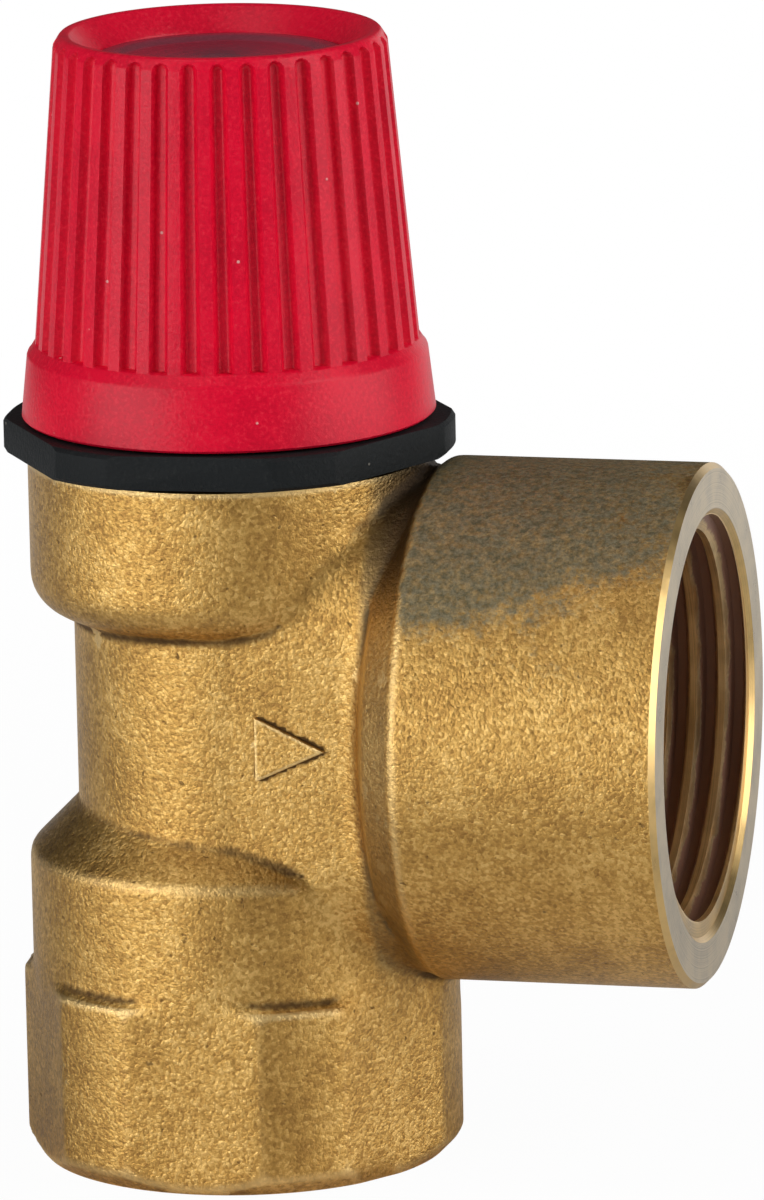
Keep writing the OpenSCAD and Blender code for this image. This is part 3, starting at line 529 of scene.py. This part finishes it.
machine(turned("outlet_face", [
    (0, outlet_x), (clear_r, outlet_x), (clear_r, outlet_clear_x), (0, outlet_clear_x)],
    outlet_axis, outlet_centre), faced_brass)
machine(turned("outlet_edges", [
    (0, outlet_x - lead_in), (mouth_r - lead_in, outlet_x - lead_in), (mouth_r + spare, outlet_x + spare),
    (outlet_r - outlet_chamfer - spare, outlet_x + spare), (outlet_r + edge_reach, edge_x),
    (clear_r, edge_x), (clear_r, outlet_clear_x), (0, outlet_clear_x)],
    outlet_axis, outlet_centre), outlet_cut)
machine(turned("collar_face", [
    (0, collar_top), (collar_r + spare, collar_top), (collar_r + spare, collar_top + 3 * spare),
    (0, collar_top + 3 * spare)]), stem_cut)


def finish_piece(piece, body, slot, *nodes, angle=35):
    """Shades a piece, smooth but for its edges, and puts it in place of CAD nodes on a body."""
    bpy.ops.object.select_all(action="DESELECT")
    piece.select_set(True)
    bpy.context.view_layer.objects.active = piece
    bpy.ops.object.shade_smooth_by_angle(angle=math.radians(angle))
    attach(piece, body)
    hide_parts(*nodes)


finish_piece(valve_body, "body", "cast_brass", "valve_body")

# Inner pieces on the stem and in the bonnet: turned brass and steel parts, a coil spring and
# rubber seals. They are bought-in or turned parts that are screwed or pushed together, and they
# stay as they were drawn, with the finish of their metal or rubber.
brass_parts = cut_brass("turned_brass_parts", tint=(0.62, 0.42, 0.17))
steel_parts = cut_brass("turned_steel_parts", tint=(0.60, 0.60, 0.60))


def moulded_specks():
    """Node group: fine moulded grain with sparse specks of dust, for plastic and rubber."""
    speck_cells, speck_edge, chosen_few, grain_scale = 650, (0.11, 0.05), (0.87, 0.9), 3200
    group = bpy.data.node_groups.new("moulded_specks", "ShaderNodeTree")
    group.interface.new_socket("Vector", in_out="INPUT", socket_type="NodeSocketVector")
    group.interface.new_socket("Grain", in_out="OUTPUT", socket_type="NodeSocketFloat")
    group.interface.new_socket("Specks", in_out="OUTPUT", socket_type="NodeSocketFloat")
    given = new_node(group, "NodeGroupInput")
    coords = given.outputs["Vector"]
    cells = new_node(group, "ShaderNodeTexVoronoi", {"Scale": speck_cells})
    group.links.new(coords, cells.inputs["Vector"])
    near = new_mask(group, cells.outputs["Distance"], *speck_edge)
    chosen = new_node(group, "ShaderNodeSeparateColor")
    group.links.new(cells.outputs["Color"], chosen.inputs["Color"])
    few = new_mask(group, chosen.outputs[0], *chosen_few)
    result = new_node(group, "NodeGroupOutput")
    group.links.new(new_noise(group, coords, grain_scale, 3, 0.6), result.inputs["Grain"])
    group.links.new(new_product(group, near, few), result.inputs["Specks"])
    return group


speckle = moulded_specks()


def moulded(name, colour, speck_colour, low_gloss, high_gloss, bump, shine=0.5):
    """Moulded plastic or rubber of one colour, with specks of dust and a fine grain."""
    dull_share, dust_share, dust_edge, grain_depth = 0.8, 0.07, (0.52, 0.8), 0.08
    material, tree, shader, coords = new_material(name)
    shader.inputs["Specular IOR Level"].default_value = shine
    specks = new_node(tree, "ShaderNodeGroup", node_tree=speckle)
    tree.links.new(coords, specks.inputs["Vector"])
    dull = tuple(dull_share * channel for channel in colour)
    shade = new_math(tree, "ADD", new_noise(tree, coords, 160, 4, 0.6), specks.outputs["Grain"])
    tone = new_ramp(tree, new_product(tree, shade, 0.5), [(0.4, dull), (0.56, colour)])
    dust = new_product(tree, new_mask(tree, specks.outputs["Grain"], *dust_edge), dust_share)
    dust = new_math(tree, "MAXIMUM", dust, specks.outputs["Specks"])
    tree.links.new(new_mix(tree, dust, tone, speck_colour), shader.inputs["Base Color"])
    rough = new_node(tree, "ShaderNodeMapRange", {"To Min": low_gloss, "To Max": high_gloss})
    tree.links.new(specks.outputs["Grain"], rough.inputs["Value"])
    tree.links.new(rough.outputs["Result"], shader.inputs["Roughness"])
    height = new_math(tree, "ADD", specks.outputs["Grain"], specks.outputs["Specks"])
    tree.links.new(new_bump(tree, height, bump, grain_depth), shader.inputs["Normal"])
    return material


seal_rubber = moulded("seal_rubber", (0.022, 0.022, 0.024), (0.1, 0.1, 0.1), 0.6, 0.8, 0.3)
inner_parts = {
    "slide_ring": brass_parts, "adjusting_screw": brass_parts, "adjuster_lock_ring": brass_parts,
    "disc_holder": brass_parts, "disc_retainer": brass_parts, "disc_screw": brass_parts,
    "spring_top_plate": steel_parts, "spring_bottom_plate": steel_parts, "stem": steel_parts,
    "lock_nut": steel_parts, "diaphragm_washer": steel_parts, "diaphragm_nut": steel_parts,
    "lift_washer": steel_parts, "spring": steel_parts,
    "diaphragm": seal_rubber, "seat_disc": seal_rubber}
for node_name, material in inner_parts.items():
    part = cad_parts[node_name]
    part.data.materials.clear()
    part.data.materials.append(material)

# Bonnet: the spring hood, moulded in black glass-filled plastic and screwed into the collar by its
# nose. Only its hexagon flange shows, with corners turned round and softened edges. Three ramps on
# the hood lift the knob when it is turned.
flange_af, flange_low, flange_top, flange_corner_r, flange_chamfer = 33.2, 56.75, 59.45, 17.85, 0.3
flange_turn, flange_soft, sharp_angle, flange_sink = 3.5, 0.15, 25, 1
nose_low, nose_r, nose_bore_r, cut_below = 49.3, 13.95, 11, 2
hood_r, hood_bore_r, hood_top, hood_floor, cut_above = 11, 9.2, 74, 58, 5
nearly, ramp_gap_r, ramp_rise, ramp_angle, ramp_count = 0.01, 0.22, 3.0, 100, 3
bonnet = hexagon("bonnet_black", flange_af, flange_low, flange_top, flange_turn)
join_solids(bonnet, turned("flange_corners", [
    (0, flange_low), (flange_corner_r - flange_chamfer, flange_low),
    (flange_corner_r, flange_low + flange_chamfer), (flange_corner_r, flange_top - flange_chamfer),
    (flange_corner_r - flange_chamfer, flange_top), (0, flange_top)], steps=192), "INTERSECT")
apply(bonnet, "BEVEL", width=flange_soft * MM, segments=3, limit_method="ANGLE",
      angle_limit=math.radians(sharp_angle))
join_solids(bonnet, turned("hood", [
    (0, nose_low), (nose_r, nose_low), (nose_r, flange_low + flange_sink),
    (hood_r, flange_low + flange_sink), (hood_r, hood_top), (hood_r - ramp_gap_r, hood_top),
    (hood_bore_r + ramp_gap_r, hood_top), (0, hood_top)], steps=216))
for point in bonnet.data.vertices:
    height = point.co.z / MM
    radius = math.hypot(point.co.x, point.co.y) / MM
    turn = math.degrees(math.atan2(point.co.y, point.co.x)) % (360 / ramp_count)
    on_ramp = hood_bore_r < radius < hood_r - ramp_gap_r / 2 and turn <= ramp_angle
    if height > hood_top - nearly and on_ramp:
        point.co.z += ramp_rise * turn / ramp_angle * MM
join_solids(bonnet, turned("hood_bores", [
    (0, nose_low - cut_below), (nose_bore_r, nose_low - cut_below), (nose_bore_r, hood_floor),
    (hood_bore_r, hood_floor), (hood_bore_r, hood_top + cut_above), (0, hood_top + cut_above)]),
    "DIFFERENCE")
bonnet.data.materials.clear()
bonnet.data.materials.append(moulded("black_plastic", (0.005, 0.007, 0.008), (0.16, 0.15, 0.13),
                                     0.5, 0.75, 1.0, shine=0.22))
finish_piece(bonnet, "body", "black_plastic", "bonnet")

# Knob: the twist cap for the manual test, moulded in red plastic with a smooth skirt and ribs for
# the grip. Its web sits under the lock nut, and three lugs below the web ride on the hood's ramps.
knob_low, knob_top, web_low, web_top = 59.65, 90.1, 78, 80
skirt_low_r, skirt_top_r, skirt_top = 16.34, 15.8, 64.8
grip_low_r, grip_low, grip_top_r, grip_top = 15.15, 65.6, 13.15, 89.1
top_edge_r, rim_width, cover_seat_r, cover_low, cover_top = 12.6, 0.8, 10.05, 86.9, 88.2
room_r, stem_hole_r, wall = 8.6, 3.3, 1.5
soft, bevel_in, bevel_up, bevel_rows, grip_steps = 0.2, 0.43, 0.7, 8, 24
groove_count, groove_turn, groove_depth, groove_share, groove_end = 36, 3.5, 0.72, 0.56, 89.75
groove_start, groove_first, groove_round, groove_square, groove_steps = 65.65, 65.72, 0.6, 4, 20
lug_in_r, lug_out_r, lug_angle, lug_low, lug_slope = 9.42, 10.78, 20, 74.25, 0.03


def grip_radius(height):
    """Radius over the ribs at a height."""
    return grip_low_r + (grip_top_r - grip_low_r) * (height - grip_low) / (grip_top - grip_low)


# The edges are rounded by shares of one soft width. The rows up the grip carry the grooves' form.
grip_rows = [grip_low + (grip_top - grip_low) * i / grip_steps for i in range(1, grip_steps + 1)]
edge_rows = [(grip_top_r - 0.1 * soft - bevel_in * i / bevel_rows,
              grip_top + 0.5 * soft + bevel_up * i / bevel_rows) for i in range(bevel_rows + 1)]
knob = turned("knob_red", [
    (skirt_low_r - wall, knob_low), (skirt_low_r - soft, knob_low), (skirt_low_r, knob_low + soft),
    (skirt_top_r + 0.1 * soft, skirt_top - soft), (skirt_top_r - 0.3 * soft, skirt_top),
    (skirt_top_r - soft, skirt_top + 0.75 * soft), (grip_low_r + 0.5 * soft, grip_low - 0.5 * soft),
    (grip_low_r, grip_low), (grip_radius(groove_first), groove_first),
    *[(grip_radius(z), z) for z in grip_rows], *edge_rows,
    (top_edge_r - 0.3 * soft, knob_top - 0.2 * soft), (top_edge_r - soft, knob_top),
    (top_edge_r - rim_width + soft, knob_top), (top_edge_r - rim_width, knob_top - 0.75 * soft),
    (cover_seat_r + 0.75 * soft, cover_top + 0.5 * soft), (cover_seat_r, cover_top - 0.5 * soft),
    (cover_seat_r, cover_low), (room_r, cover_low), (room_r, web_top), (stem_hole_r, web_top),
    (stem_hole_r, web_low), (lug_in_r, web_low), (lug_out_r, web_low),
    (grip_radius(web_low) - groove_depth - wall, web_low), (skirt_low_r - wall, knob_low)],
    steps=groove_count * groove_steps)
pitch = 360 / groove_count
for point in knob.data.vertices:
    height = point.co.z / MM
    radius = math.hypot(point.co.x, point.co.y) / MM
    if groove_start < height < groove_end and radius > grip_radius(height) - groove_depth:
        turn = math.degrees(math.atan2(point.co.y, point.co.x)) - groove_turn
        off = abs((turn + pitch / 2) % pitch - pitch / 2) / (pitch * groove_share / 2)
        off = math.hypot(off, 1 - min(1, (groove_end - height) / groove_round))
        groove_floor = grip_radius(height) - groove_depth * (1 - min(off, 1) ** groove_square)
        if groove_floor < radius:
            point.co.x *= groove_floor / radius
            point.co.y *= groove_floor / radius

# The lugs are drawn down from the web's lower face, with their ends cut to the slope of the ramps.
facing_down = -0.9
for face in knob.data.polygons:
    turn = math.degrees(math.atan2(face.center.y, face.center.x)) % (360 / ramp_count)
    radius = math.hypot(face.center.x, face.center.y) / MM
    face.select = face.normal.z < facing_down and lug_in_r < radius < lug_out_r and turn < lug_angle
for edge in knob.data.edges:
    edge.select = False
for point in knob.data.vertices:
    point.select = False
bpy.context.view_layer.objects.active = knob
bpy.ops.object.mode_set(mode="EDIT")
bpy.ops.mesh.select_mode(type="FACE")
bpy.ops.mesh.extrude_region_move(TRANSFORM_OT_translate={"value": (0, 0, (lug_low - web_low) * MM)})
bpy.ops.mesh.select_mode(type="VERT")
bpy.ops.object.mode_set(mode="OBJECT")
for point in knob.data.vertices:
    if point.select:
        turn = math.degrees(math.atan2(point.co.y, point.co.x)) % (360 / ramp_count)
        point.co.z += lug_slope * turn * MM
knob.data.materials.append(moulded("red_plastic", (0.74, 0.003, 0.031), (0.75, 0.36, 0.34),
                                   0.26, 0.4, 0.5, shine=0.19))
finish_piece(knob, "knob", "red_plastic", "knob", angle=40)

# Knob cover: a smoked plastic disc that snaps into the recess on top of the knob and hides the
# lock nut. It is glossy, slightly dished and finely rippled inside its lip, so that it mirrors the
# red rim in streaks.
cover_r, foot_soft, cover_bend, lip_width, lip_fall = 10.0, 0.2, 0.3, 1.2, 0.04
ripple_from, ripple_step, ripple_depth, ripple_count = 1.7, 0.6, 0.13, 12
dish_edge, dish_slope, dish_middle = 0.22, 0.01, 0.4
ripples = [(cover_r - ripple_from - ripple_step * i,
            cover_top - dish_edge - dish_slope * i - ripple_depth * (i % 2)) for i in range(ripple_count)]
knob_cover = turned("knob_cover_dark", [
    (0, cover_low), (cover_r - foot_soft, cover_low), (cover_r, cover_low + foot_soft),
    *arc(cover_r - cover_bend, cover_top - cover_bend, cover_bend, 0, 90, 5),
    (cover_r - lip_width, cover_top - lip_fall), *ripples, (0, cover_top - dish_middle)], steps=128)
knob_cover.data.materials.append(moulded("smoked_plastic", (0.24, 0.036, 0.062), (0.3, 0.15, 0.16),
                                         0.16, 0.3, 0.1))
finish_piece(knob_cover, "knob", "cover_plastic", "knob_cover")

# Floor: a pale round table top that fades into the white background and keeps the soft shadow.
floor_radius, near_white, fade_start, fade_end, mirrored_share = 0.8, 0.97, 0.08, 0.32, 0.45
bpy.ops.object.select_all(action="DESELECT")
bpy.ops.mesh.primitive_circle_add(vertices=96, radius=floor_radius, fill_type="NGON")
floor = bpy.context.object
floor.name = "floor"
floor_paint, tree, shader, coords = new_material("floor_paint", roughness=0.9)
shader.inputs["Base Color"].default_value = (0.8, 0.8, 0.8, 1)
length = new_node(tree, "ShaderNodeVectorMath", operation="LENGTH")
tree.links.new(coords, length.inputs[0])
rays = new_node(tree, "ShaderNodeLightPath")
mirrored = new_math(tree, "MAXIMUM", rays.outputs["Is Glossy Ray"], rays.outputs["Is Transmission Ray"])
far_off = new_mask(tree, length.outputs["Value"], fade_start, fade_end)
looked_at = new_node(tree, "ShaderNodeMapRange", {"To Min": near_white})
tree.links.new(far_off, looked_at.inputs["Value"])
fade = new_math(tree, "MAXIMUM", new_product(tree, far_off, mirrored, mirrored_share),
                new_product(tree, looked_at.outputs["Result"], rays.outputs["Is Camera Ray"]))
white = new_node(tree, "ShaderNodeEmission", {"Color": (1, 1, 1, 1), "Strength": 1.0})
blend = new_node(tree, "ShaderNodeMixShader")
tree.links.new(fade, blend.inputs["Fac"])
tree.links.new(shader.outputs["BSDF"], blend.inputs[1])
tree.links.new(white.outputs["Emission"], blend.inputs[2])
tree.links.new(blend.outputs["Shader"], tree.nodes["Material Output"].inputs["Surface"])
floor.data.materials.append(floor_paint)

# Studio: a dim room with a white backdrop behind the object, which the metal mirrors, even light
# for the plain surfaces, a low and a high soft box at either side and one overhead.
dim, backdrop_way, backdrop_edge, ambient_light = (0.08, 0.08, 0.08), (0.24, 0.97, 0), (0.93, 0.985), 0.1
world = bpy.data.worlds.new("studio")
bpy.context.scene.world = world
world.use_nodes = True
tree = world.node_tree
backdrop = tree.nodes["Background"]
ambient = new_node(tree, "ShaderNodeBackground", {"Color": (1, 1, 1, 1), "Strength": ambient_light})
rays = new_node(tree, "ShaderNodeLightPath")
way = new_node(tree, "ShaderNodeTexCoord").outputs["Generated"]
towards = new_node(tree, "ShaderNodeVectorMath", {1: backdrop_way}, operation="DOT_PRODUCT")
tree.links.new(way, towards.inputs[0])
behind = new_mask(tree, towards.outputs["Value"], *backdrop_edge)
room = new_mix(tree, behind, dim, (1.0, 1.0, 1.0))
tree.links.new(new_mix(tree, rays.outputs["Is Camera Ray"], room, (1.0, 1.0, 1.0)),
               backdrop.inputs["Color"])
seen = new_math(tree, "MAXIMUM", rays.outputs["Is Camera Ray"],
                new_math(tree, "MAXIMUM", rays.outputs["Is Glossy Ray"],
                         rays.outputs["Is Transmission Ray"]))
blend = new_node(tree, "ShaderNodeMixShader")
tree.links.new(seen, blend.inputs["Fac"])
tree.links.new(ambient.outputs["Background"], blend.inputs[1])
tree.links.new(backdrop.outputs["Background"], blend.inputs[2])
tree.links.new(blend.outputs["Shader"], tree.nodes["World Output"].inputs["Surface"])


def soft_box(name, azimuth, elevation, width, height, power):
    """Area lamp that faces the object from a direction, given as angles from +X and from the floor."""
    middle, distance = Vector((0.01, 0, 0.045)), 0.9
    turn, rise = math.radians(azimuth), math.radians(elevation)
    way = Vector((math.cos(turn) * math.cos(rise), math.sin(turn) * math.cos(rise), math.sin(rise)))
    bpy.ops.object.select_all(action="DESELECT")
    bpy.ops.object.light_add(type="AREA", location=middle + way * distance)
    lamp = bpy.context.object
    lamp.name = name
    lamp.data.shape = "RECTANGLE"
    lamp.data.size = width
    lamp.data.size_y = height
    lamp.data.energy = power
    lamp.rotation_euler = way.to_track_quat("Z", "Y").to_euler()


soft_box("left_box", -132, 8, 0.85, 0.42, 4.6)
soft_box("left_upper_box", -130, 40, 0.4, 0.4, 1.0)
soft_box("top_box", -135, 72, 0.4, 0.4, 0.9)
soft_box("right_box", -2, 8, 0.95, 0.42, 3.9)
soft_box("upper_box", -10, 40, 0.42, 0.42, 3.0)

# Camera: a long lens that looks down a little, turned a little to the outlet's side.
view_azimuth, view_elevation, view_roll = 13.86, 12.72, -1.23
view_distance, view_aim = 945.64 * MM, Vector((12.09, 0, 44.76)) * MM
frame_height_px, focal_px, sensor, nearest = 1200, 11987, 36, 0.01
turn, rise, roll = (math.radians(angle) for angle in (view_azimuth, view_elevation, view_roll))
back = Vector((math.sin(turn) * math.cos(rise), -math.cos(turn) * math.cos(rise), math.sin(rise)))
right = Vector((0, 0, 1)).cross(back).normalized()
up = back.cross(right)
across = math.cos(roll) * right + math.sin(roll) * up
upright = back.cross(across)
bpy.ops.object.camera_add()
camera = bpy.context.object
camera.data.sensor_width = sensor
camera.data.lens = sensor * focal_px / frame_height_px
camera.data.clip_start = nearest
turned_to = Matrix((across, upright, back)).transposed().to_4x4()
camera.matrix_world = Matrix.Translation(view_aim + back * view_distance) @ turned_to
bpy.context.scene.camera = camera
bpy.context.scene.view_settings.view_transform = "Standard"
